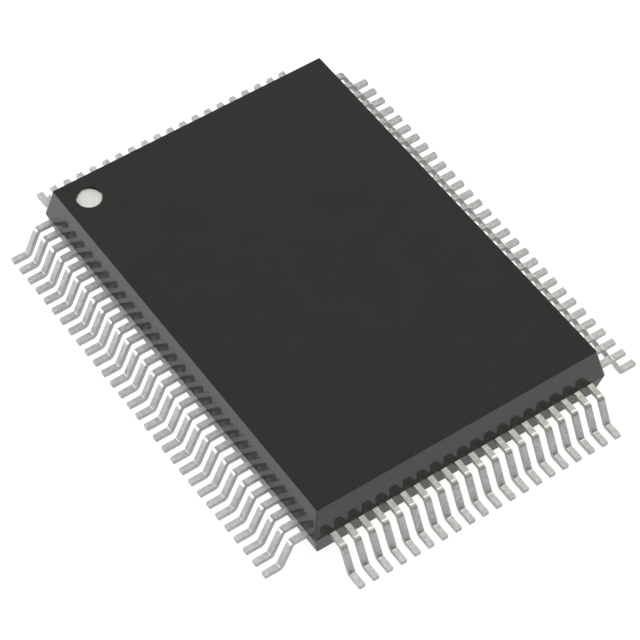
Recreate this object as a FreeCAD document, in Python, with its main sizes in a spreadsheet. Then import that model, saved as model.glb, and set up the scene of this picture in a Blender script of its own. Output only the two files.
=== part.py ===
import FreeCAD, Part
import math
import os
import Sketcher

# Quad flat pack: a moulded chip body, 14 by 20 mm, with 100 gull-wing leads at 0.65 mm
# Millimetres. The origin is the middle of the plan on the seating plane.
# +X runs across the body, +Y along it and +Z up. Lead 1 is at the -X, +Y corner, and the
# numbers run counter-clockwise seen from above.

# Driving sizes: name, value, what it measures
SIZES = [
    ("body_wide", 14.0, "moulding across, at its parting line"),
    ("body_long", 20.0, "moulding along, at its parting line"),
    ("mould_above", 1.425, "parting line up to the top face"),
    ("mould_below", 1.275, "parting line down to the underside"),
    ("standoff", 0.1, "seating plane up to the underside"),
    ("draft", 13.0, "draft of the moulding's sides, degrees"),
    ("corner_round", 0.12, "corner radius at the parting line"),
    ("corner_round_end", 0.05, "corner radius at the top face and the underside"),
    ("mark_round", 1.11, "diameter of the lead one mark"),
    ("mark_across", 1.42, "parting line's left edge to the mark's middle"),
    ("mark_along", 1.46, "parting line's back edge to the mark's middle"),
    ("mark_sunk", 0.1, "depth of the dimple that holds the mark"),
    ("mark_thick", 0.02, "thickness of the mark"),
    ("mark_clear", 0.005, "gap round the mark in its dimple"),
    ("pitch", 0.65, "lead spacing"),
    ("long_leads", 30, "leads on each long side"),
    ("short_leads", 20, "leads on each short side"),
    ("group_leads", 5, "leads kept together as one sub-part"),
    ("lead_wide", 0.28, "width of a lead outside the moulding"),
    ("strip", 0.2, "thickness of the stamped frame"),
    ("lead_reach", 2.0, "moulding's edge out to a lead's tip"),
    ("shoulder_flat", 0.6, "straight run of a lead next to the moulding"),
    ("lead_slope", 65.0, "slope between a lead's bends, degrees from level"),
    ("bend_inside", 0.07, "inner radius of a lead's two bends"),
    ("root_inside", 0.25, "straight run of a lead inside the moulding"),
    ("finger_depth_long", 2.8, "long side's edge in to its finger ends"),
    ("finger_depth_short", 3.1, "short side's edge in to its finger ends"),
    ("finger_corner", 0.7, "outermost finger end to the next side's line of ends"),
    ("finger_wide", 0.2, "width of a finger's inner end"),
    ("paddle_gap", 0.5, "finger ends to the paddle"),
    ("paddle_down", 0.2, "drop of the paddle below the lead frame"),
    ("tie_wide", 0.18, "width of a tie bar"),
    ("tie_end_across", 0.38, "long side's edge in to a tie bar's end"),
    ("tie_end_along", 0.25, "short side's edge in to a tie bar's end"),
    ("tie_seat", 0.3, "tie bar's run on the paddle"),
    ("tie_level", 0.1, "tie bar's level run past the paddle's corner"),
    ("tie_slope", 0.35, "plan length of a tie bar's sloping part"),
    ("attach_thick", 0.03, "thickness of the die attach layer"),
    ("attach_margin", 0.1, "die attach's reach past the die"),
    ("die_wide", 5.6, "die across"),
    ("die_long", 8.8, "die along"),
    ("die_thick", 0.35, "die thickness"),
    ("pad_inset", 0.15, "die's edge in to a row of bond pads"),
    ("pad_corner", 0.4, "die's corner to the first bond pad along the row"),
    ("wire_wide", 0.03, "bond wire's width and height"),
    ("wire_rise", 0.2, "bond wire's rise over the die"),
    ("wire_landing", 0.25, "finger's end out to the middle of the bond on it"),
    ("wire_foot", 0.08, "length of the bond on a finger"),
]

# The four sides in the order of the lead numbers, each in its own frame: the row runs along
# the side's X, and out of the moulding is the side's -Y
SIDES = [
    {
        "turn": 270,
        "leads": "sizes.long_leads",
        "half": "sizes.body_wide / 2",
        "ends": "(sizes.body_wide / 2 - sizes.finger_depth_long)",
        "ends_span": "(sizes.body_long / 2 - sizes.finger_depth_short - sizes.finger_corner)",
        "die_half": "sizes.die_wide / 2",
        "die_span": "sizes.die_long / 2",
    },
    {
        "turn": 0,
        "leads": "sizes.short_leads",
        "half": "sizes.body_long / 2",
        "ends": "(sizes.body_long / 2 - sizes.finger_depth_short)",
        "ends_span": "(sizes.body_wide / 2 - sizes.finger_depth_long - sizes.finger_corner)",
        "die_half": "sizes.die_long / 2",
        "die_span": "sizes.die_wide / 2",
    },
]
SIDES.append(dict(SIDES[0], turn=90))
SIDES.append(dict(SIDES[1], turn=180))

# Levels and places that several sub-parts share. The frame's top lies on the parting plane.
PARTING = "(sizes.standoff + sizes.mould_below)"
FRAME_TOP = PARTING
FRAME_FLOOR = f"({FRAME_TOP} - sizes.strip)"
PADDLE_TOP = f"({FRAME_TOP} - sizes.paddle_down)"
PADDLE_X = "(sizes.body_wide / 2 - sizes.finger_depth_long - sizes.paddle_gap)"
PADDLE_Y = "(sizes.body_long / 2 - sizes.finger_depth_short - sizes.paddle_gap)"
DIE_FLOOR = f"({PADDLE_TOP} + sizes.attach_thick)"
DIE_TOP = f"({DIE_FLOOR} + sizes.die_thick)"
TOP_FACE = f"({PARTING} + sizes.mould_above)"
MARK_X = "(sizes.mark_across - sizes.body_wide / 2)"
MARK_Y = "(sizes.body_long / 2 - sizes.mark_along)"

# Flats that stand for the arcs of a lead's bends, on the outer and on the inner face
OUTER_FLATS = 2
INNER_FLATS = 1

doc = FreeCAD.newDocument("quad_flat_pack")
sheet = doc.addObject("Spreadsheet::Sheet", "sizes")
subparts = []


def fill_sheet():
    """Write the driving sizes into the sheet, one to a row."""
    for row, (name, value, note) in enumerate(SIZES, start=1):
        sheet.set(f"A{row}", note)
        sheet.set(f"B{row}", str(value))
        sheet.setAlias(f"B{row}", name)
    doc.recompute()


def number(formula):
    """Return what a formula of the sheet's sizes comes to."""
    found = sheet.evalExpression(formula)
    return float(getattr(found, "Value", found))


def keep(thing):
    """Count an object as one of the sub-parts, under its label."""
    subparts.append(thing)
    return thing


def origin_feature(body, role):
    """Return the origin plane or axis of a body that has this role."""
    return next(item for item in body.Origin.OriginFeatures if item.Role == role)


def new_sketch(body, name, role, lift="0"):
    """Start a sketch on one of its body's origin planes, lifted along its normal."""
    sketch = body.newObject("Sketcher::SketchObject", name)
    sketch.AttachmentSupport = [(origin_feature(body, role), "")]
    sketch.MapMode = "FlatFace"
    sketch.setExpression("AttachmentOffset.Base.z", lift)
    return sketch


def bind(sketch, constraint, formula):
    """Add a constraint whose value follows a formula."""
    index = sketch.addConstraint(constraint)
    sketch.setExpression(f"Constraints[{index}]", formula)


def add_outline(sketch, corners):
    """Draw a closed outline through corners, each a pair of formulas."""
    first = sketch.GeometryCount
    places = [FreeCAD.Vector(number(across), number(along), 0) for across, along in corners]
    count = len(corners)
    for k in range(count):
        sketch.addGeometry(Part.LineSegment(places[k], places[(k + 1) % count]), False)
    joints = [(first + k, 2, first + (k + 1) % count, 1) for k in range(count)]
    sketch.addConstraint([Sketcher.Constraint("Coincident", *joint) for joint in joints])
    for k, (across, along) in enumerate(corners):
        bind(sketch, Sketcher.Constraint("DistanceX", -1, 1, first + k, 1, places[k].x), across)
        bind(sketch, Sketcher.Constraint("DistanceY", -1, 1, first + k, 1, places[k].y), along)


def rectangle(half_across, half_along):
    """Return the corners of a rectangle about the origin."""
    return [
        (f"-{half_across}", f"-{half_along}"),
        (half_across, f"-{half_along}"),
        (half_across, half_along),
        (f"-{half_across}", half_along),
    ]


def pad(body, name, sketch, length, symmetric=False):
    """Pad a sketch by a formula's length."""
    feature = body.newObject("PartDesign::Pad", name)
    feature.Profile = sketch
    if symmetric:
        feature.SideType = "Symmetric"
    feature.setExpression("Length", length)
    return feature


def plate(label, half_across, half_along, floor, thick):
    """Make a flat rectangular plate as a body of its own."""
    body = doc.addObject("PartDesign::Body", label)
    sketch = new_sketch(body, label + "_outline", "XY_Plane", floor)
    add_outline(sketch, rectangle(half_across, half_along))
    pad(body, label + "_pad", sketch, thick)
    return body


def bend_corners(middle, up, radius, facing, flats):
    """Return the corners between a bend's flats and its straight runs, all touching one arc.

    The bend is an arc about a middle. Facing is 1 for the knee, whose arc starts straight up
    from its middle, and -1 for the heel, whose arc starts straight down.
    """
    corners = []
    parts = 2 * (flats + 1)
    for k in range(1, parts, 2):
        turn = f"(sizes.lead_slope * {k} / {parts})"
        reach = f"{facing} * {radius} / cos(sizes.lead_slope / {parts})"
        corners.append((f"{middle} - {reach} * sin({turn})", f"{up} + {reach} * cos({turn})"))
    return corners


def lead_corners(side):
    """Return a lead's side view: shoulder, knee, slope, heel and foot, of one thickness."""
    inner = "sizes.bend_inside"
    outer = "(sizes.bend_inside + sizes.strip)"
    knee = f"-({side['half']} + sizes.shoulder_flat)"
    knee_up = f"({FRAME_TOP} - {outer})"
    drop = f"({knee_up} - {outer})"
    run = f"(({inner} + {outer} + {drop} * cos(sizes.lead_slope)) / sin(sizes.lead_slope))"
    heel = f"({knee} - {run})"
    tip = f"-({side['half']} + sizes.lead_reach)"
    root = f"-({side['half']} - sizes.root_inside)"
    knee_outside = bend_corners(knee, knee_up, outer, 1, OUTER_FLATS)
    knee_inside = bend_corners(knee, knee_up, inner, 1, INNER_FLATS)
    heel_outside = bend_corners(heel, outer, outer, -1, OUTER_FLATS)
    heel_inside = bend_corners(heel, outer, inner, -1, INNER_FLATS)
    ends_out = [(tip, "sizes.strip"), (tip, "0")]
    ends_in = [(root, FRAME_FLOOR), (root, FRAME_TOP)]
    upper = knee_outside + heel_inside[::-1]
    lower = heel_outside + knee_inside[::-1]
    return upper + ends_out + lower + ends_in


def row_place(side, lead, half_span):
    """Return the formula for a lead's place along its row, spread to a half span."""
    return f"(({lead} * 2 / ({side['leads']} - 1) - 1) * {half_span})"


def lead_middle(side, lead):
    """Return the formula for the middle of a lead, counted from its row's start."""
    return f"(({lead} - ({side['leads']} - 1) / 2) * sizes.pitch)"


def finger_corners(side, lead):
    """Return the outline of a lead's finger, which fans in from the root to the die."""
    outer_half = "sizes.lead_wide / 2"
    inner_half = "sizes.finger_wide / 2"
    root = f"-({side['half']} - sizes.root_inside)"
    middle = lead_middle(side, lead)
    end = row_place(side, lead, side["ends_span"])
    return [
        (f"{middle} - {outer_half}", root),
        (f"{middle} + {outer_half}", root),
        (f"{end} + {inner_half}", f"-{side['ends']}"),
        (f"{end} - {inner_half}", f"-{side['ends']}"),
    ]


def lead_group(label, side, first, count):
    """Make neighbouring leads of one side: gull wings outside, fanned fingers inside."""
    body = doc.addObject("PartDesign::Body", label)
    body.AllowCompound = True
    sketch = new_sketch(body, label + "_side_view", "YZ_Plane", lead_middle(side, first))
    add_outline(sketch, lead_corners(side))
    wing = pad(body, label + "_wing", sketch, "sizes.lead_wide", symmetric=True)
    row = body.newObject("PartDesign::LinearPattern", label + "_row")
    row.Originals = [wing]
    row.Direction = (origin_feature(body, "X_Axis"), [""])
    row.Occurrences = count
    row.setExpression("Length", f"sizes.pitch * {count - 1}")
    body.Tip = row
    fan = new_sketch(body, label + "_fan", "XY_Plane", FRAME_FLOOR)
    for lead in range(first, first + count):
        add_outline(fan, finger_corners(side, lead))
    pad(body, label + "_fingers", fan, "sizes.strip")
    body.Placement = side_placement(side)
    return body


def mould_half(block, name, plan, level, height):
    """Add the half of the moulding between its parting plan and the level of its far face."""
    inset = f"{height} * tan(sizes.draft)"
    far = new_sketch(block, name + "_far_plan", "XY_Plane", level)
    half_across = f"(sizes.body_wide / 2 - {inset})"
    half_along = f"(sizes.body_long / 2 - {inset})"
    add_rounded_rectangle(far, half_across, half_along, "sizes.corner_round_end")
    half = block.newObject("PartDesign::AdditiveLoft", name)
    half.Profile = plan
    half.Sections = [far]
    half.Ruled = True


def mould_outside():
    """Make the moulding's outside: two drafted halves on one parting line, and the dimple."""
    block = doc.addObject("PartDesign::Body", "mould_block")
    plan = new_sketch(block, "mould_plan", "XY_Plane", PARTING)
    half_across = "(sizes.body_wide / 2)"
    half_along = "(sizes.body_long / 2)"
    add_rounded_rectangle(plan, half_across, half_along, "sizes.corner_round")
    mould_half(block, "mould_top_half", plan, TOP_FACE, "sizes.mould_above")
    mould_half(block, "mould_bottom_half", plan, "sizes.standoff", "sizes.mould_below")

    spot = new_sketch(block, "dimple_plan", "XY_Plane", TOP_FACE)
    add_round(spot, "sizes.mark_round / 2 + sizes.mark_clear", MARK_X, MARK_Y)
    dimple = block.newObject("PartDesign::Pocket", "dimple")
    dimple.Profile = spot
    dimple.setExpression("Length", "sizes.mark_sunk")
    return block


def add_rounded_rectangle(sketch, half_across, half_along, radius):
    """Draw a rectangle with round corners about the origin, from formulas."""
    upward = FreeCAD.Vector(0, 0, 1)
    quarter = math.pi / 2
    arcs = []
    for k, (east, north) in enumerate([(1, 1), (-1, 1), (-1, -1), (1, -1)]):
        across = f"{east} * ({half_across} - {radius})"
        along = f"{north} * ({half_along} - {radius})"
        middle = FreeCAD.Vector(number(across), number(along), 0)
        circle = Part.Circle(middle, upward, number(radius))
        arc = sketch.addGeometry(Part.ArcOfCircle(circle, k * quarter, (k + 1) * quarter), False)
        bind(sketch, Sketcher.Constraint("Radius", arc, number(radius)), radius)
        bind(sketch, Sketcher.Constraint("DistanceX", -1, 1, arc, 3, middle.x), across)
        bind(sketch, Sketcher.Constraint("DistanceY", -1, 1, arc, 3, middle.y), along)
        arcs.append(arc)
    for arc, after in zip(arcs, arcs[1:] + arcs[:1]):
        side = Part.LineSegment(sketch.getPoint(arc, 2), sketch.getPoint(after, 1))
        line = sketch.addGeometry(side, False)
        sketch.addConstraint(Sketcher.Constraint("Tangent", arc, 2, line, 1))
        sketch.addConstraint(Sketcher.Constraint("Tangent", line, 2, after, 1))


def add_round(sketch, radius, across, along):
    """Draw a circle from formulas for its radius and its middle."""
    middle = FreeCAD.Vector(number(across), number(along), 0)
    circle = sketch.addGeometry(Part.Circle(middle, FreeCAD.Vector(0, 0, 1), number(radius)), False)
    bind(sketch, Sketcher.Constraint("Radius", circle, number(radius)), radius)
    bind(sketch, Sketcher.Constraint("DistanceX", -1, 1, circle, 3, middle.x), across)
    bind(sketch, Sketcher.Constraint("DistanceY", -1, 1, circle, 3, middle.y), along)


def lead_one_mark():
    """Make the pale disc that lies in the dimple beside lead one."""
    body = doc.addObject("PartDesign::Body", "lead_one_mark")
    plan = new_sketch(body, "mark_plan", "XY_Plane", f"{TOP_FACE} - sizes.mark_sunk")
    add_round(plan, "sizes.mark_round / 2", MARK_X, MARK_Y)
    pad(body, "mark_disc", plan, "sizes.mark_thick")
    return body


def die_paddle():
    """Make the paddle with its four tie bars, which step up to the lead frame's level."""
    body = plate("die_paddle", PADDLE_X, PADDLE_Y, f"{PADDLE_TOP} - sizes.strip", "sizes.strip")
    run_x = f"(sizes.body_wide / 2 - sizes.tie_end_across - {PADDLE_X})"
    run_y = f"(sizes.body_long / 2 - sizes.tie_end_along - {PADDLE_Y})"
    run = f"sqrt({run_x} * {run_x} + {run_y} * {run_y})"
    low_floor = f"({PADDLE_TOP} - sizes.strip)"
    step_start = "sizes.tie_level"
    step_end = "(sizes.tie_level + sizes.tie_slope)"
    corners = [
        ("-sizes.tie_seat", low_floor),
        (step_start, low_floor),
        (step_end, FRAME_FLOOR),
        (run, FRAME_FLOOR),
        (run, FRAME_TOP),
        (step_end, FRAME_TOP),
        (step_start, PADDLE_TOP),
        ("-sizes.tie_seat", PADDLE_TOP),
    ]
    for bar, (east, north) in enumerate([(1, 1), (-1, 1), (-1, -1), (1, -1)], start=1):
        turn = f"atan2({north} * {run_y}; {east} * {run_x})"
        sketch = new_sketch(body, f"tie_bar_{bar}_side_view", "XZ_Plane")
        sketch.AttachmentOffset = FreeCAD.Placement(
            FreeCAD.Vector(0, 0, 0), FreeCAD.Rotation(FreeCAD.Vector(0, 1, 0), number(turn))
        )
        sketch.setExpression("AttachmentOffset.Base.x", f"{east} * {PADDLE_X}")
        sketch.setExpression("AttachmentOffset.Base.z", f"{-north} * {PADDLE_Y}")
        sketch.setExpression("AttachmentOffset.Rotation.Angle", turn)
        add_outline(sketch, corners)
        pad(body, f"tie_bar_{bar}", sketch, "sizes.tie_wide", symmetric=True)
    return body


def wire_solid(side, lead):
    """Return one bond wire: up from its pad on the die, then down to its finger."""
    die_top = number(DIE_TOP)
    finger_top = number(FRAME_TOP)
    wide = number("sizes.wire_wide")
    landing = number("sizes.wire_landing")
    ends = number(side["ends"])
    depth = number(f"{side['half']} - sizes.root_inside") - ends
    inner = number(row_place(side, lead, side["ends_span"]))
    outer = number(lead_middle(side, lead))
    pads_span = f"({side['die_span']} - sizes.pad_corner)"
    pad_y = -number(f"{side['die_half']} - sizes.pad_inset")
    on_die = FreeCAD.Vector(number(row_place(side, lead, pads_span)), pad_y, 0)
    on_finger = FreeCAD.Vector(inner + (outer - inner) * landing / depth, -ends - landing, 0)

    span = on_finger - on_die
    reach = span.Length
    span.normalize()
    foot = number("sizes.wire_foot")
    loop_top = die_top + number("sizes.wire_rise")
    outline = [
        (-wide / 2, die_top),
        (-wide / 2, loop_top),
        (reach + foot / 2, finger_top),
        (reach - foot / 2, finger_top),
        (wide / 2, loop_top - wide),
        (wide / 2, die_top),
    ]
    beside = FreeCAD.Vector(-span.y, span.x, 0) * wide
    start = on_die - beside / 2
    places = [start + span * along + FreeCAD.Vector(0, 0, up) for along, up in outline]
    return Part.Face(Part.makePolygon(places + places[:1])).extrude(beside)


def wire_group(label, side, first, count):
    """Make the bond wires of one lead group, each in its own upright plane."""
    group = doc.addObject("Part::Feature", label)
    group.Shape = Part.makeCompound([wire_solid(side, lead) for lead in range(first, first + count)])
    group.Placement = side_placement(side)
    return group


def side_placement(side):
    """Return the turn from a side's own frame to the part's."""
    return FreeCAD.Placement(
        FreeCAD.Vector(0, 0, 0), FreeCAD.Rotation(FreeCAD.Vector(0, 0, 1), side["turn"])
    )


def compound(label, things):
    """Gather objects that don't touch one another, as one tool for a cut."""
    gathered = doc.addObject("Part::Compound", label)
    gathered.Links = things
    return gathered


def cut_away(label, block, tool):
    """Cut a tool's form out of a block."""
    cut = doc.addObject("Part::Cut", label)
    cut.Base = block
    cut.Tool = tool
    cut.Refine = False
    return cut


def build():
    """Make every sub-part, and last the moulding that encloses the inner ones."""
    leads = []
    wires = []
    lowest = 1
    group_size = int(number("sizes.group_leads"))
    for side in SIDES:
        in_row = int(number(side["leads"]))
        for first in range(0, in_row, group_size):
            members = min(group_size, in_row - first)
            name = f"{lowest:03d}_{lowest + members - 1:03d}"
            leads.append(keep(lead_group(f"leads_{name}", side, first, members)))
            wires.append(keep(wire_group(f"wires_{name}", side, first, members)))
            lowest += members

    paddle = keep(die_paddle())
    attach = keep(
        plate(
            "die_attach",
            "(sizes.die_wide / 2 + sizes.attach_margin)",
            "(sizes.die_long / 2 + sizes.attach_margin)",
            PADDLE_TOP,
            "sizes.attach_thick",
        )
    )
    die = keep(plate("die", "sizes.die_wide / 2", "sizes.die_long / 2", DIE_FLOOR, "sizes.die_thick"))
    keep(lead_one_mark())

    block = mould_outside()
    block = cut_away("mould_round_die", block, die)
    block = cut_away("mould_round_attach", block, attach)
    block = cut_away("mould_round_wires", block, compound("wire_tool", wires))
    keep(cut_away("mould_body", block, compound("frame_tool", leads + [paddle])))


def check_and_write():
    """Stop on any failed object or poor solid, and write each sub-part's file."""
    doc.recompute()
    for item in doc.Objects:
        if "Invalid" in item.State or "Error" in item.State:
            raise RuntimeError(f"{item.Label} failed: {item.State}")
    for item in subparts:
        if item.Shape.isNull() or not item.Shape.isValid() or not item.Shape.Solids:
            raise RuntimeError(f"{item.Label} has no sound solid")
    os.makedirs("parts", exist_ok=True)
    for item in subparts:
        item.Shape.exportStep(f"parts/{item.Label}.step")
        solids = len(item.Shape.Solids)
        print(f"{item.Label}: {solids} solids, {item.Shape.Volume:.5f} mm3")


fill_sheet()
build()
check_and_write()
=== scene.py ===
"""Looks of a quad flat pack chip: a dark moulded body with a hundred tinned gull-wing leads."""

import logging
import math
from collections.abc import Iterable
from dataclasses import dataclass, field
from enum import Enum
from typing import NamedTuple

import bmesh
import bpy
from mathutils import Matrix, Vector, geometry, noise


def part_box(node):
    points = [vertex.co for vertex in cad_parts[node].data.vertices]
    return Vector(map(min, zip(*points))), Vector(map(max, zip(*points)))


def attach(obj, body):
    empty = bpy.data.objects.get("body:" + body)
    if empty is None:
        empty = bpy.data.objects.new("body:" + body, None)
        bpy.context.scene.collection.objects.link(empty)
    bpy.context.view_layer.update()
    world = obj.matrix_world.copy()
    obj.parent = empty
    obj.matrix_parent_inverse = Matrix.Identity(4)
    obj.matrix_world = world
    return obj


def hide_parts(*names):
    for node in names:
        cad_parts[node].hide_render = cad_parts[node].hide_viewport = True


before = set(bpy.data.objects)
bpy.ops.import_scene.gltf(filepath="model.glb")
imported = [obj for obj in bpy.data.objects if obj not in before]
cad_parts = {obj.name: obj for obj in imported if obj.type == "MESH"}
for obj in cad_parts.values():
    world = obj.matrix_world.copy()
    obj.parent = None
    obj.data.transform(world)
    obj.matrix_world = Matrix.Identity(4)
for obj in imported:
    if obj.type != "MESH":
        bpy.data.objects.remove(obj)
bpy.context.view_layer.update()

MM = 0.001
BODY = "root"
PHOTO_PIXELS = 640
SENSOR = 36.0
WHITE = (1.0, 1.0, 1.0, 1.0)
UP = Vector((0.0, 0.0, 1.0))
FINE_DETAIL = 2.0
RICH_DETAIL = 3.0
GRAIN_SPAN = (0.3, 0.7)  # nearly all values of a noise lie between these
TONE_SPAN = (0.35, 0.65)
BEVEL_SAMPLES = 4
MIX_SHARE, MIX_FIRST, MIX_SECOND, MIX_RESULT = 0, 6, 7, 2  # a colour Mix node's own sockets

Colour = tuple[float, float, float, float]
Triple = tuple[float, float, float]
Socket = bpy.types.NodeSocket
Material = bpy.types.Material

log = logging.getLogger("chip")


class Side(Enum):
    """The four sides in the order of the lead numbers: turn in degrees and leads in the row."""

    LEFT = (270, 30)
    FRONT = (0, 20)
    RIGHT = (90, 30)
    BACK = (180, 20)

    @property
    def turn(self) -> float:
        """Turn from the side's own frame to the part's, in radians."""
        return math.radians(self.value[0])

    @property
    def leads(self) -> int:
        """Number of leads in the row."""
        return self.value[1]


class LeadFace(Enum):
    """Kinds of surface on a stamped lead, and their material slots."""

    ROLLED = 0
    CUT = 1


class NodeSheet:
    """A material's node tree, with short calls that add nodes and join them."""

    def __init__(self, name: str) -> None:
        """Start an empty tree.

        Args:
            name: name of the material.
        """
        self.material = bpy.data.materials.new(name)
        self.material.use_nodes = True
        self.tree = self.material.node_tree
        self.tree.nodes.clear()
        self.output = self.tree.nodes.new("ShaderNodeOutputMaterial")

    def add(
        self, kind: str, settings: dict[str, object] | None = None, **sockets: object
    ) -> bpy.types.Node:
        """Add a node.

        Args:
            kind: the node's type.
            settings: the node's own properties.
            **sockets: values or source sockets for its inputs, spaces in their names written as _.

        Returns:
            The new node.
        """
        node = self.tree.nodes.new(kind)
        for name, value in (settings or {}).items():
            setattr(node, name, value)
        for name, value in sockets.items():
            self.feed(node.inputs[name.replace("_", " ")], value)
        return node

    def feed(self, socket: Socket, value: object) -> None:
        """Set an input, or join it to another node's output.

        Args:
            socket: the input.
            value: a plain value, or the output to join.
        """
        if isinstance(value, Socket):
            self.tree.links.new(value, socket)
        else:
            socket.default_value = value

    def math(self, operation: str, *values: object, clamp: bool = False) -> Socket:
        """Join a math node.

        Args:
            operation: what it works out.
            *values: its inputs, in order.
            clamp: whether the result is kept between 0 and 1.

        Returns:
            Its output.
        """
        node = self.add("ShaderNodeMath", {"operation": operation, "use_clamp": clamp})
        for socket, value in zip(node.inputs, values):
            self.feed(socket, value)
        return node.outputs[0]

    def spread(
        self, value: object, low: float, high: float, start: float = 0.0, end: float = 1.0
    ) -> Socket:
        """Stretch a value from one range to another, without passing the second.

        Args:
            value: the value's socket.
            low: the value that gives start.
            high: the value that gives end.
            start: result at low.
            end: result at high.

        Returns:
            The result's socket.
        """
        node = self.add("ShaderNodeMapRange")
        names = ("Value", "From Min", "From Max", "To Min", "To Max")
        for name, number in zip(names, (value, low, high, start, end)):
            self.feed(node.inputs[name], number)
        return node.outputs["Result"]

    def grain(self, size: float, detail: float) -> Socket:
        """Add noise whose lumps have a real size.

        Args:
            size: size of the lumps, in metres.
            detail: octaves of finer noise.

        Returns:
            The noise, from 0 to 1.
        """
        place = self.add("ShaderNodeTexCoord").outputs["Object"]
        made = self.add("ShaderNodeTexNoise", Vector=place, Scale=1.0 / size, Detail=detail)
        return made.outputs["Fac"]

    def blend(self, share: object, first: object, second: object) -> Socket:
        """Mix two colours.

        Args:
            share: how much of the second.
            first: the colour at share 0.
            second: the colour at share 1.

        Returns:
            The mixed colour.
        """
        node = self.add("ShaderNodeMix", {"data_type": "RGBA"})
        self.feed(node.inputs[MIX_SHARE], share)
        self.feed(node.inputs[MIX_FIRST], first)
        self.feed(node.inputs[MIX_SECOND], second)
        return node.outputs[MIX_RESULT]

    def rounded(self, radius: float) -> Socket:
        """Round the normals near the edges.

        Args:
            radius: reach of the rounding, in metres.

        Returns:
            The rounded normal.
        """
        return self.add("ShaderNodeBevel", {"samples": BEVEL_SAMPLES}, Radius=radius).outputs[0]

    def edges(self, radius: float) -> Socket:
        """Mask the edges by how far a rounded normal leans from the face's own.

        Args:
            radius: reach of the mask, in metres.

        Returns:
            The mask, near 0 on flat faces and larger at the edges.
        """
        plain = self.add("ShaderNodeNewGeometry")
        dot = self.add("ShaderNodeVectorMath", {"operation": "DOT_PRODUCT"})
        self.feed(dot.inputs[0], self.rounded(radius))
        self.feed(dot.inputs[1], plain.outputs["Normal"])
        return self.math("SUBTRACT", 1.0, dot.outputs["Value"], clamp=True)

    def bump(self, height: object, depth: float, normal: object | None = None) -> Socket:
        """Raise a height map.

        Args:
            height: the map's socket, from 0 to 1.
            depth: its depth, in metres.
            normal: a normal to start from.

        Returns:
            The bumped normal.
        """
        node = self.add("ShaderNodeBump", Height=height, Distance=depth)
        if normal is not None:
            self.feed(node.inputs["Normal"], normal)
        return node.outputs[0]

    def finish(self, shader: bpy.types.Node) -> Material:
        """Join the surface shader to the output.

        Args:
            shader: the shader's node.

        Returns:
            The material.
        """
        self.feed(self.output.inputs["Surface"], shader.outputs[0])
        return self.material


@dataclass(frozen=True)
class MetalFinish:
    """A plated or drawn metal with a mottled grain."""

    name: str
    dark: Colour
    light: Colour
    smooth: float
    rough: float
    mottle: float = 0.2 * MM
    grain: float = 0.08 * MM
    grain_share: float = 0.55
    grain_depth: float = 0.0003 * MM
    tone_span: tuple[float, float] = (0.36, 0.64)
    edge_reach: float = 0.015 * MM
    edge_full: float = 0.3
    edge_shine: float = 0.12

    def material(self) -> Material:
        """Make the material.

        Returns:
            A metal whose colour, roughness and surface vary, with rubbed edges.
        """
        sheet = NodeSheet(self.name)
        fine = sheet.grain(self.grain, FINE_DETAIL)
        mottle = sheet.grain(self.mottle, RICH_DETAIL)
        patches = sheet.math("MULTIPLY", mottle, 1.0 - self.grain_share)
        both = sheet.math("MULTIPLY_ADD", fine, self.grain_share, patches)
        share = sheet.spread(both, *self.tone_span)
        worn = sheet.edges(self.edge_reach)
        rubbed = sheet.spread(worn, 0.0, self.edge_full, 0.0, self.edge_shine)
        dull = sheet.spread(fine, *GRAIN_SPAN, self.smooth, self.rough)
        shader = sheet.add(
            "ShaderNodeBsdfPrincipled",
            Base_Color=sheet.blend(share, self.dark, self.light),
            Metallic=1.0,
            Roughness=sheet.math("SUBTRACT", dull, rubbed),
            Normal=sheet.bump(both, self.grain_depth),
        )
        return sheet.finish(shader)


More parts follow.
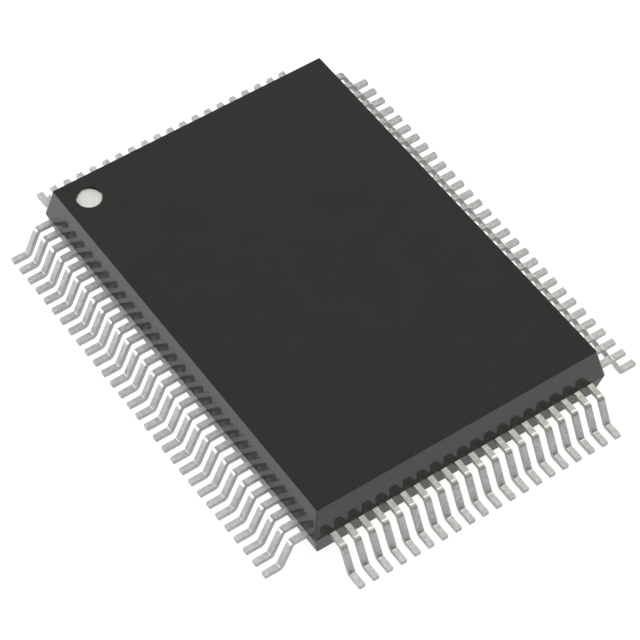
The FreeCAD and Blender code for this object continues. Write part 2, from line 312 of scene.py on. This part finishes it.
@dataclass(frozen=True)
class MouldFinish:
    """Cured moulding compound: matte all over, with a smooth resin skin on its drafted sides."""

    name: str = "epoxy_sparked"
    dark: Colour = (0.0102, 0.0098, 0.0088, 1.0)
    light: Colour = (0.0138, 0.0134, 0.012, 1.0)
    # painted light: the sides get a paler copy of the compound's colour than the top and bottom
    lit_side_dark: Colour = (0.0175, 0.017, 0.015, 1.0)
    lit_side_light: Colour = (0.0225, 0.022, 0.0195, 1.0)
    tone_span: tuple[float, float] = (0.38, 0.62)
    rough: float = 0.72
    rough_play: float = 0.02
    shine: float = 0.26
    refraction: float = 1.55
    flat_lean: tuple[float, float] = (0.6, 0.8)
    skin_upper: float = 0.9
    skin_lower: float = 0.36
    skin_rough: float = 0.05
    skin_refraction: float = 1.5
    skin_turn: float = 0.1
    speck: float = 0.05 * MM
    speck_share: float = 0.5
    speck_depth: float = 0.002 * MM
    cloud: float = 1.6 * MM
    edge_reach: float = 0.05 * MM
    edge_full: float = 0.2
    edge_colour: Colour = (0.055, 0.053, 0.049, 1.0)

    def material(self) -> Material:
        """Make the material.

        Returns:
            A dark plastic with specks of filler, clouds of tone and paler edges, whose sides carry
            painted light: a paler copy of its colour than its top and bottom.
        """
        sheet = NodeSheet(self.name)
        specks = sheet.grain(self.speck, FINE_DETAIL)
        clouds = sheet.grain(self.cloud, RICH_DETAIL)
        faint_clouds = sheet.math("MULTIPLY", clouds, 1.0 - self.speck_share)
        tone = sheet.math("MULTIPLY_ADD", specks, self.speck_share, faint_clouds)
        share = sheet.spread(tone, *self.tone_span)

        way = sheet.add("ShaderNodeTexCoord").outputs["Normal"]
        lean = sheet.add("ShaderNodeSeparateXYZ", Vector=way).outputs["Z"]
        flat = sheet.spread(sheet.math("ABSOLUTE", lean), *self.flat_lean)
        turn = self.skin_turn
        sided = sheet.spread(lean, -turn, turn, self.skin_lower, self.skin_upper)
        skin = sheet.math("MULTIPLY", sided, sheet.math("SUBTRACT", 1.0, flat))

        flat_colour = sheet.blend(share, self.dark, self.light)
        # painted light: faces that lean to the side take the paler colour
        lit_side_colour = sheet.blend(share, self.lit_side_dark, self.lit_side_light)
        edges = sheet.spread(sheet.edges(self.edge_reach), 0.0, self.edge_full)
        worn = sheet.math("MULTIPLY", edges, specks)
        colour = sheet.blend(worn, sheet.blend(flat, lit_side_colour, flat_colour), self.edge_colour)
        smoothest, roughest = self.rough - self.rough_play, self.rough + self.rough_play
        rounded = sheet.rounded(self.edge_reach)
        height = sheet.math("MULTIPLY", specks, flat)
        shader = sheet.add(
            "ShaderNodeBsdfPrincipled",
            Base_Color=colour,
            Roughness=sheet.spread(specks, *GRAIN_SPAN, smoothest, roughest),
            IOR=self.refraction,
            Specular_IOR_Level=self.shine,
            Coat_Weight=skin,
            Coat_Roughness=self.skin_rough,
            Coat_IOR=self.skin_refraction,
            Coat_Normal=rounded,
            Normal=sheet.bump(height, self.speck_depth, rounded),
        )
        return sheet.finish(shader)


@dataclass(frozen=True)
class PlainFinish:
    """A finish with a fine grain, such as cured paste or polished silicon."""

    name: str
    dark: Colour
    light: Colour
    smooth: float
    rough: float
    grain: float = 0.06 * MM
    grain_depth: float = 0.001 * MM

    def material(self) -> Material:
        """Make the material.

        Returns:
            A material whose colour, roughness and surface follow one grain.
        """
        sheet = NodeSheet(self.name)
        fine = sheet.grain(self.grain, RICH_DETAIL)
        share = sheet.spread(fine, *TONE_SPAN)
        shader = sheet.add(
            "ShaderNodeBsdfPrincipled",
            Base_Color=sheet.blend(share, self.dark, self.light),
            Roughness=sheet.spread(fine, *GRAIN_SPAN, self.smooth, self.rough),
            Normal=sheet.bump(fine, self.grain_depth),
        )
        return sheet.finish(shader)


@dataclass(frozen=True)
class MarkFinish:
    """Pale ink in a dimple, with painted shade of the dimple's wall on parts of its rim."""

    name: str = "mark_paint"
    dark: Colour = (0.7, 0.703, 0.685, 1.0)
    light: Colour = (0.73, 0.734, 0.716, 1.0)
    # painted shade: the dark that the dimple's wall casts on parts of the rim
    painted_rim_shade: Colour = (0.1, 0.1, 0.09, 1.0)
    smooth: float = 0.5
    rough: float = 0.65
    grain: float = 0.08 * MM
    grain_depth: float = 0.0004 * MM
    rim: float = 0.07 * MM
    rim_patch: float = 0.35 * MM
    rim_span: tuple[float, float] = (0.44, 0.52)

    def material(self, middle: Vector, radius: float) -> Material:
        """Make the material.

        Args:
            middle: the disc's middle.
            radius: its radius.

        Returns:
            A pale ink whose rim is darkened in patches by painted shade.
        """
        sheet = NodeSheet(self.name)
        fine = sheet.grain(self.grain, RICH_DETAIL)
        paint = sheet.blend(sheet.spread(fine, *TONE_SPAN), self.dark, self.light)
        flat = sheet.add("ShaderNodeVectorMath", {"operation": "MULTIPLY"})
        sheet.feed(flat.inputs[0], sheet.add("ShaderNodeTexCoord").outputs["Object"])
        sheet.feed(flat.inputs[1], (1.0, 1.0, 0.0))
        away = sheet.add("ShaderNodeVectorMath", {"operation": "DISTANCE"})
        sheet.feed(away.inputs[0], flat.outputs[0])
        sheet.feed(away.inputs[1], (middle.x, middle.y, 0.0))
        ring = sheet.spread(away.outputs["Value"], radius - self.rim, radius - self.rim / 2)
        # painted shade: patches of the rim darkened where the dimple's wall would shade it
        shaded_patches = sheet.spread(sheet.grain(self.rim_patch, FINE_DETAIL), *self.rim_span)
        shader = sheet.add(
            "ShaderNodeBsdfPrincipled",
            Base_Color=sheet.blend(sheet.math("MULTIPLY", ring, shaded_patches), paint, self.painted_rim_shade),
            Roughness=sheet.spread(fine, *GRAIN_SPAN, self.smooth, self.rough),
            Normal=sheet.bump(fine, self.grain_depth),
        )
        return sheet.finish(shader)


@dataclass(frozen=True)
class FloorFinish:
    """A pale floor that reads as white, with a faint shadow of the object on it."""

    name: str = "floor_white"
    colour: Colour = (0.8, 0.8, 0.8, 1.0)
    seen_colour: Colour = (0.25, 0.25, 0.25, 1.0)
    seen_glow: float = 0.94

    def material(self) -> Material:
        """Make the material.

        Returns:
            A diffuse floor, which camera, mirror and glass rays see lifted to white.
        """
        sheet = NodeSheet(self.name)
        path = sheet.add("ShaderNodeLightPath")
        glossy, through = path.outputs["Is Glossy Ray"], path.outputs["Is Transmission Ray"]
        mirrored = sheet.math("MAXIMUM", glossy, through)
        shown = sheet.math("MAXIMUM", path.outputs["Is Camera Ray"], mirrored)
        plain = sheet.add("ShaderNodeBsdfDiffuse", Color=self.colour)
        shaded = sheet.add("ShaderNodeBsdfDiffuse", Color=self.seen_colour)
        glowing = sheet.add("ShaderNodeEmission", Color=WHITE, Strength=self.seen_glow)
        lifted = sheet.add("ShaderNodeAddShader")
        sheet.feed(lifted.inputs[0], shaded.outputs[0])
        sheet.feed(lifted.inputs[1], glowing.outputs[0])
        mixed = sheet.add("ShaderNodeMixShader", Fac=shown)
        sheet.feed(mixed.inputs[1], plain.outputs[0])
        sheet.feed(mixed.inputs[2], lifted.outputs[0])
        return sheet.finish(mixed)


def dress(node: str, material: Material) -> None:
    """Give a kept CAD node its material.

    Args:
        node: the node's name.
        material: its finish.
    """
    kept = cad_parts[node]
    if not kept.material_slots:
        kept.data.materials.append(material)
    for holder in kept.material_slots:
        holder.material = material
    log.info("%s: finished as %s", node, material.name)


def settle(
    mesh: bpy.types.Mesh, name: str, nodes: Iterable[str], materials: Iterable[Material]
) -> bpy.types.Object:
    """Turn a mesh into a piece that rides on the part and stands for its CAD nodes.

    Args:
        mesh: the piece's mesh.
        name: the piece's name.
        nodes: CAD nodes that it stands for.
        materials: its materials, in the order of its faces' indices.

    Returns:
        The piece.
    """
    piece = bpy.data.objects.new(name, mesh)
    bpy.context.scene.collection.objects.link(piece)
    for material in materials:
        mesh.materials.append(material)
    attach(piece, BODY)
    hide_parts(*nodes)
    log.info("%s: %d faces, for %s", name, len(mesh.polygons), ", ".join(nodes))
    return piece


class RingPoint(NamedTuple):
    """A point of a ring, and the normal that the skin has there."""

    place: Vector
    normal: Vector


class Skin:
    """Closed skins over rows of rings, shaded by the normals of the rings' points."""

    def __init__(self) -> None:
        """Start with no faces."""
        self.places: list[Vector] = []
        self.faces: list[list[int]] = []
        self.normals: list[Vector] = []
        self.kinds: list[int] = []

    def add_face(self, corners: list[int], normals: list[Vector], kind: int) -> None:
        """Add a face that looks the way its normals do.

        Args:
            corners: indices of its points, in order round it.
            normals: the normal at each corner.
            kind: its material's index.
        """
        facing = geometry.normal([self.places[corner] for corner in corners])
        if facing.dot(sum(normals, Vector())) < 0:
            corners, normals = corners[::-1], normals[::-1]
        self.faces.append(corners)
        self.normals += normals
        self.kinds.append(kind)

    def loft(self, rings: list[list[RingPoint]], kinds: list[int], end_kind: int) -> None:
        """Skin a row of rings and close both of its ends.

        Args:
            rings: the rings, all of as many points.
            kinds: material index of each strip, from a ring's point to the next one.
            end_kind: material index of the ends.
        """
        count = len(kinds)
        for one, two in zip(rings, rings[1:]):
            start = len(self.places)
            if one is rings[0]:
                self.places += [point.place for point in one]
            else:
                start -= count
            self.places += [point.place for point in two]
            for k, kind in enumerate(kinds):
                after = (k + 1) % count
                corners = [start + k, start + after, start + count + after, start + count + k]
                around = (one[k], one[after], two[after], two[k])
                self.add_face(corners, [point.normal for point in around], kind)
        top = len(self.places) - count
        bottom = top - count * (len(rings) - 1)
        for start, ring, inner in ((bottom, rings[0], rings[1]), (top, rings[-1], rings[-2])):
            steps = (here.place - there.place for here, there in zip(ring, inner))
            outward = sum(steps, Vector()).normalized()
            self.add_face(list(range(start, start + count)), [outward] * count, end_kind)

    def mesh(self, name: str) -> bpy.types.Mesh:
        """Make the mesh.

        Args:
            name: its name.

        Returns:
            The mesh, with its normals set.
        """
        made = bpy.data.meshes.new(name)
        made.from_pydata(self.places, [], self.faces)
        made.polygons.foreach_set("material_index", self.kinds)
        made.shade_smooth()
        made.normals_split_custom_set(self.normals)
        return made


class Station(NamedTuple):
    """A cross-section's place on a lead: along the row, outward, up, slope and size."""

    along: float
    out: float
    up: float
    slope: float
    half_wide: float
    inset: float


@dataclass
class LeadForm:
    """Sizes of a lead and its finger. The moulding's half widths come from the frame."""

    pitch: float = 0.65 * MM
    wide: float = 0.28 * MM
    strip: float = 0.2 * MM
    parting: float = 1.375 * MM
    reach: float = 2.0 * MM
    shoulder: float = 0.6 * MM
    slope: float = math.radians(65.0)
    bend_inside: float = 0.07 * MM
    root_inside: float = 0.25 * MM
    finger_depth_long: float = 2.8 * MM
    finger_depth_short: float = 3.1 * MM
    finger_corner: float = 0.7 * MM
    finger_wide: float = 0.2 * MM
    edge_round: float = 0.018 * MM
    corner_points: int = 3
    bend_steps: int = 7

    def middle(self, side: Side, lead: int) -> float:
        """Find a lead's place along its row.

        Args:
            side: the lead's side.
            lead: the lead's number in its row, from 0.

        Returns:
            Its distance from the row's middle.
        """
        return (lead - (side.leads - 1) / 2) * self.pitch

    def finger_end(
        self, side: Side, lead: int, half: float, other_half: float
    ) -> tuple[float, float]:
        """Find a finger's inner end.

        Args:
            side: the lead's side.
            lead: the lead's number in its row, from 0.
            half: half of the moulding, towards this side.
            other_half: half of the moulding, along this side.

        Returns:
            Its place along the row, and its distance from the middle of the part.
        """
        long_side = side.leads == max(each.leads for each in Side)
        depth = self.finger_depth_long if long_side else self.finger_depth_short
        other_depth = self.finger_depth_short if long_side else self.finger_depth_long
        span = other_half - other_depth - self.finger_corner
        return (2 * lead / (side.leads - 1) - 1) * span, half - depth

    def stations(
        self, side: Side, lead: int, half: float, other_half: float
    ) -> list[Station]:
        """Follow a lead from its finger's end to its tip.

        Args:
            side: the lead's side.
            lead: the lead's number in its row, from 0.
            half: half of the moulding, towards this side.
            other_half: half of the moulding, along this side.

        Returns:
            The cross-sections' places, on the middle of the strip.
        """
        middle = self.middle(side, lead)
        end_along, end_out = self.finger_end(side, lead, half, other_half)
        level = self.parting - self.strip / 2
        radius = self.bend_inside + self.strip / 2
        knee_out = half + self.shoulder
        knee_up = level - radius
        heel_up = self.strip / 2 + radius
        run = (2 * radius + (knee_up - heel_up) * math.cos(self.slope)) / math.sin(self.slope)
        heel_out = knee_out + run
        tip_out = half + self.reach
        wing, finger, edge = self.wide / 2, self.finger_wide / 2, self.edge_round

        found = [Station(end_along, end_out, level, 0.0, finger, edge)]
        found.append(Station(end_along, end_out + edge, level, 0.0, finger, 0.0))
        found.append(Station(middle, half - self.root_inside, level, 0.0, wing, 0.0))
        for step in range(self.bend_steps + 1):
            turn = self.slope * step / self.bend_steps
            out, up = knee_out + radius * math.sin(turn), knee_up + radius * math.cos(turn)
            found.append(Station(middle, out, up, turn, wing, 0.0))
        for step in range(self.bend_steps, -1, -1):
            turn = self.slope * step / self.bend_steps
            out, up = heel_out - radius * math.sin(turn), heel_up - radius * math.cos(turn)
            found.append(Station(middle, out, up, turn, wing, 0.0))
        found.append(Station(middle, tip_out - edge, self.strip / 2, 0.0, wing, 0.0))
        found.append(Station(middle, tip_out, self.strip / 2, 0.0, wing, edge))
        return found

    def ring(self, place: Station, end: float) -> list[RingPoint]:
        """Outline the cross-section at a station, with rounded corners, in the side's own frame.

        Args:
            place: the station.
            end: 1 at the tip, -1 at the finger's end and 0 between.

        Returns:
            Its points, from the upper right corner round.
        """
        radius = self.edge_round - place.inset
        ahead = Vector((0.0, -math.cos(place.slope), -math.sin(place.slope)))
        above = Vector((0.0, -math.sin(place.slope), math.cos(place.slope)))
        beside = Vector((1.0, 0.0, 0.0))
        middle = Vector((place.along, -place.out, place.up))
        points = []
        for quarter, (east, north) in enumerate([(1, 1), (-1, 1), (-1, -1), (1, -1)]):
            across = east * (place.half_wide - self.edge_round)
            through = north * (self.strip / 2 - self.edge_round)
            for step in range(self.corner_points):
                turn = math.pi / 2 * (quarter + step / (self.corner_points - 1))
                way = beside * math.cos(turn) + above * math.sin(turn)
                point = middle + beside * across + above * through + way * radius
                points.append(RingPoint(point, ahead * end if end else way))
        return points


@dataclass
class LeadRow:
    """One side's leads, as pieces of a few neighbouring leads each."""

    side: Side
    first_number: int
    half: float
    other_half: float
    materials: tuple[Material, Material]
    form: LeadForm = field(default_factory=LeadForm)
    group: int = 5

    def add_lead(self, skin: Skin, lead: int) -> None:
        """Loft one lead along its stations.

        Args:
            skin: the skin that it is added to.
            lead: the lead's number in its row, from 0.
        """
        turn = Matrix.Rotation(self.side.turn, 3, "Z")
        stations = self.form.stations(self.side, lead, self.half, self.other_half)
        last = len(stations) - 1
        rings = []
        for number, place in enumerate(stations):
            ring = self.form.ring(place, (number == last) - (number == 0))
            rings.append([RingPoint(turn @ point.place, turn @ point.normal) for point in ring])
        kinds = [LeadFace.ROLLED.value] * len(rings[0])
        flanks = (self.form.corner_points * 2 - 1, len(kinds) - 1)
        for flank in flanks:
            kinds[flank] = LeadFace.CUT.value
        skin.loft(rings, kinds, LeadFace.CUT.value)

    def build(self) -> list[bpy.types.Object]:
        """Build the row's pieces.

        Returns:
            The pieces, in the order of their numbers.
        """
        pieces = []
        for first in range(0, self.side.leads, self.group):
            skin = Skin()
            for lead in range(first, first + self.group):
                self.add_lead(skin, lead)
            low = self.first_number + first
            span = f"{low:03d}_{low + self.group - 1:03d}"
            name = f"gull_wings_{span}"
            nodes = [f"leads_{span}"]
            pieces.append(settle(skin.mesh(name), name, nodes, self.materials))
        return pieces


@dataclass
class LeadFrame:
    """All four rows of leads."""

    rolled: MetalFinish = MetalFinish(
        "tin_rolled", (0.4, 0.4, 0.393, 1.0), (0.585, 0.585, 0.578, 1.0), 0.4, 0.46
    )
    # the cut flanks' darker tone is partly the duller sheared finish and partly painted shade of
    # the flanks
    cut: MetalFinish = MetalFinish(
        "tin_cut_shaded", (0.345, 0.345, 0.334, 1.0), (0.51, 0.51, 0.5, 1.0), 0.45, 0.56
    )

    def build(self) -> list[bpy.types.Object]:
        """Build the leads of every side.

        Returns:
            Their pieces.
        """
        materials = (self.rolled.material(), self.cut.material())
        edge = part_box("mould_body")[1]
        pieces = []
        number = 1
        for side in Side:
            across = side in (Side.LEFT, Side.RIGHT)
            half, other_half = (edge.x, edge.y) if across else (edge.y, edge.x)
            pieces += LeadRow(side, number, half, other_half, materials).build()
            number += side.leads
        return pieces


@dataclass
class MouldedBody:
    """The moulded body, whose form is the CAD node's own."""

    finish: MouldFinish = MouldFinish()

    def build(self) -> None:
        """Dress the body."""
        dress("mould_body", self.finish.material())


@dataclass
class LeadOneMark:
    """The pale disc beside lead one, with a soft rim that isn't quite round."""

    ink: MarkFinish = MarkFinish()
    points: int = 96
    rim_round: float = 0.008 * MM
    rim_steps: int = 3
    waver: float = 0.004 * MM
    waver_scale: float = 7.0

    def build(self) -> bpy.types.Object:
        """Build the disc in its dimple.

        Returns:
            The piece.
        """
        low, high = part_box("lead_one_mark")
        middle = (low + high) / 2
        radius = (high.x - low.x) / 2
        levels = [(0.0, low.z, 0.0)]
        for step in range(self.rim_steps + 1):
            turn = math.pi / 2 * step / self.rim_steps
            inset = self.rim_round * (1 - math.cos(turn))
            levels.append((inset, high.z - self.rim_round * (1 - math.sin(turn)), turn))
        rings = []
        for inset, up, lean in levels:
            ring = []
            for k in range(self.points):
                turn = 2 * math.pi * k / self.points
                way = Vector((math.cos(turn), math.sin(turn), 0.0))
                waver = self.waver * (0.5 + 0.5 * noise.noise(way * self.waver_scale))
                place = middle + way * (radius - waver - inset)
                place.z = up
                ring.append(RingPoint(place, way * math.cos(lean) + UP * math.sin(lean)))
            rings.append(ring)
        skin = Skin()
        skin.loft(rings, [0] * self.points, 0)
        inks = [self.ink.material(middle, radius)]
        return settle(skin.mesh("mark_disc"), "mark_disc", ["lead_one_mark"], inks)


@dataclass
class InnerParts:
    """What the moulding hides: die, its paste and paddle, and the bond wires."""

    silicon: PlainFinish = PlainFinish(
        "silicon_polished", (0.1, 0.11, 0.14, 1.0), (0.14, 0.15, 0.18, 1.0), 0.08, 0.2
    )
    paste: PlainFinish = PlainFinish(
        "silver_paste", (0.5, 0.5, 0.48, 1.0), (0.64, 0.64, 0.62, 1.0), 0.4, 0.6
    )
    copper: MetalFinish = MetalFinish(
        "copper_strip", (0.6, 0.34, 0.22, 1.0), (0.78, 0.5, 0.36, 1.0), 0.3, 0.45
    )
    gold: MetalFinish = MetalFinish(
        "gold_drawn", (0.8, 0.55, 0.18, 1.0), (0.92, 0.68, 0.28, 1.0), 0.15, 0.3
    )

    def build(self) -> None:
        """Dress the inner nodes."""
        dress("die", self.silicon.material())
        dress("die_attach", self.paste.material())
        dress("die_paddle", self.copper.material())
        gold = self.gold.material()
        for node in sorted(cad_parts):
            if node.startswith("wires_"):
                dress(node, gold)


@dataclass(frozen=True)
class Softbox:
    """A square area lamp that faces the part."""

    name: str
    way: Triple
    wide: float
    radiance: float
    colour: Triple
    distance: float = 0.4

    def build(self) -> bpy.types.Object:
        """Hang the lamp.

        Returns:
            The lamp.
        """
        lamp = bpy.data.lights.new(self.name, "AREA")
        lamp.shape = "SQUARE"
        lamp.size = self.wide
        lamp.energy = self.radiance * math.pi * self.wide * self.wide
        lamp.color = self.colour
        holder = bpy.data.objects.new(self.name, lamp)
        bpy.context.scene.collection.objects.link(holder)
        way = Vector(self.way).normalized()
        holder.location = way * self.distance
        holder.rotation_euler = way.to_track_quat("Z", "Y").to_euler()
        return holder


@dataclass
class Studio:
    """Floor, lamps, surroundings and the camera at the photograph's place."""

    floor_half: float = 1.0
    floor: FloorFinish = FloorFinish()
    sky: Colour = (0.02, 0.02, 0.02, 1.0)
    lamps: tuple[Softbox, ...] = (
        Softbox("key_right", (0.95, 0.0, 0.31), 0.24, 5.3, (1.0, 1.0, 0.95)),
        Softbox("key_left", (-0.74, 0.52, 0.43), 0.29, 3.6, (0.93, 0.97, 1.0)),
        Softbox("top_right", (0.41, 0.0, 0.91), 0.2, 4.25, (1.0, 0.98, 0.87)),
        Softbox("top_back", (0.13, 0.39, 0.91), 0.2, 1.64, (0.9, 0.95, 1.0)),
        Softbox("back", (0.29, 0.9, 0.31), 0.2, 5.1, (0.98, 1.0, 0.98)),
        Softbox("front", (0.22, -0.71, 0.67), 0.2, 1.42, (1.0, 0.97, 0.88)),
    )
    camera_place: Triple = (-39.157 * MM, -58.221 * MM, 88.612 * MM)
    camera_right: Triple = (0.82533, -0.56462, -0.00566)
    camera_forward: Triple = (0.34566, 0.51313, -0.78563)
    focal_pixels: float = 2749.9
    clip_near: float = 0.001
    clip_far: float = 10.0

    def add_floor(self) -> bpy.types.Object:
        """Lay the floor at the leads' soles.

        Returns:
            The floor.
        """
        made = bmesh.new()
        half = self.floor_half
        corners = [(-half, -half), (half, -half), (half, half), (-half, half)]
        made.faces.new([made.verts.new((x, y, 0.0)) for x, y in corners])
        mesh = bpy.data.meshes.new("floor")
        made.to_mesh(mesh)
        made.free()
        mesh.materials.append(self.floor.material())
        floor = bpy.data.objects.new("floor", mesh)
        bpy.context.scene.collection.objects.link(floor)
        return floor

    def add_sky(self) -> None:
        """Fill the surroundings with a faint, even grey."""
        world = bpy.data.worlds.new("sky")
        world.use_nodes = True
        world.node_tree.nodes["Background"].inputs["Color"].default_value = self.sky
        bpy.context.scene.world = world

    def add_camera(self) -> bpy.types.Object:
        """Set the camera that matches the photograph.

        Returns:
            The camera.
        """
        lens = bpy.data.cameras.new("camera")
        lens.sensor_width = SENSOR
        lens.lens = self.focal_pixels * SENSOR / PHOTO_PIXELS
        lens.clip_start = self.clip_near
        lens.clip_end = self.clip_far
        camera = bpy.data.objects.new("camera", lens)
        bpy.context.scene.collection.objects.link(camera)
        back = -Vector(self.camera_forward).normalized()
        right = Vector(self.camera_right)
        right = (right - back * right.dot(back)).normalized()
        turn = Matrix((right, back.cross(right), back)).transposed()
        camera.matrix_world = Matrix.Translation(self.camera_place) @ turn.to_4x4()
        bpy.context.scene.camera = camera
        return camera

    def build(self) -> None:
        """Set up the whole studio."""
        self.add_floor()
        self.add_sky()
        for lamp in self.lamps:
            lamp.build()
        self.add_camera()
        bpy.context.scene.view_settings.view_transform = "Standard"


def main() -> None:
    """Build and dress every sub-assembly, then the studio round them."""
    logging.basicConfig(level=logging.INFO, format="%(name)s: %(message)s")
    MouldedBody().build()
    LeadOneMark().build()
    LeadFrame().build()
    InnerParts().build()
    Studio().build()


if __name__ == "__main__":
    main()
